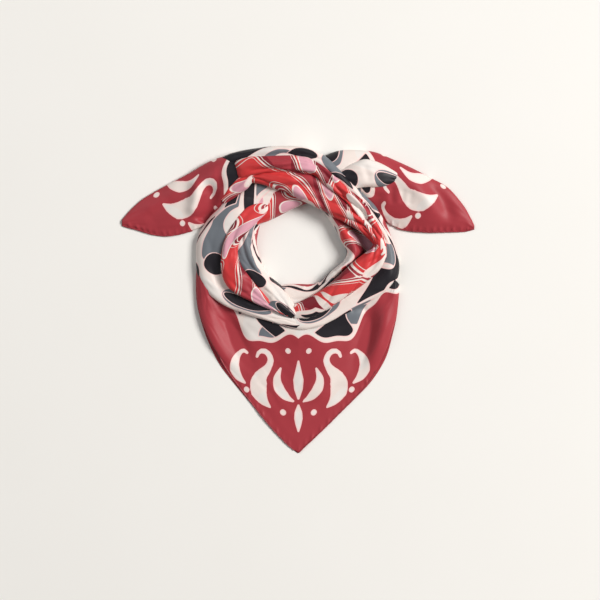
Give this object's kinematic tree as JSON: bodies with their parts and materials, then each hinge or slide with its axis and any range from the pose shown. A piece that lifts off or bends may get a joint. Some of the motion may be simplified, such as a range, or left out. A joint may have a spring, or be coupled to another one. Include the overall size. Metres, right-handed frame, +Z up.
{
  "type": "silk square scarf",
  "caption": "Square silk twill scarf with rolled hems, folded corner to corner, gathered into a neck ring with crossed tails and laid flat.",
  "frame": {"origin": "middle of the scarf's footprint, on the surface that it lies on", "axes": "+X from the left tail to the right tail, +Y from the front corner to the crossed tails, +Z up off the surface"},
  "size_m": [0.493, 0.427, 0.0431],
  "materials": {
    "silk_border": "printed silk twill, dusty red border with cream motifs, satin sheen",
    "silk_field": "printed silk twill, cream, grey, charcoal and red field, satin sheen",
    "rolled_hem": "hand-rolled silk hem in the border's red"
  },
  "bodies": {
    "root": {"front_corner_upper": "silk_border", "front_corner_lower": "silk_border", "front_hem_left": "rolled_hem", "front_hem_right": "rolled_hem", "outer_fold_left": "silk_field", "outer_fold_right": "silk_field", "middle_fold_left": "silk_field", "middle_fold_right": "silk_field", "inner_fold_left": "silk_field", "inner_fold_right": "silk_field", "left_arm": "silk_field", "upper_arm_outer": "silk_field", "upper_arm_middle": "silk_field", "upper_arm_inner": "silk_field", "crossing_lobe": "silk_field", "left_tail": "silk_border", "left_tail_hem": "rolled_hem", "right_tail": "silk_border", "right_tail_fold": "silk_border", "right_tail_hem": "rolled_hem"}
  },
  "joints": []
}
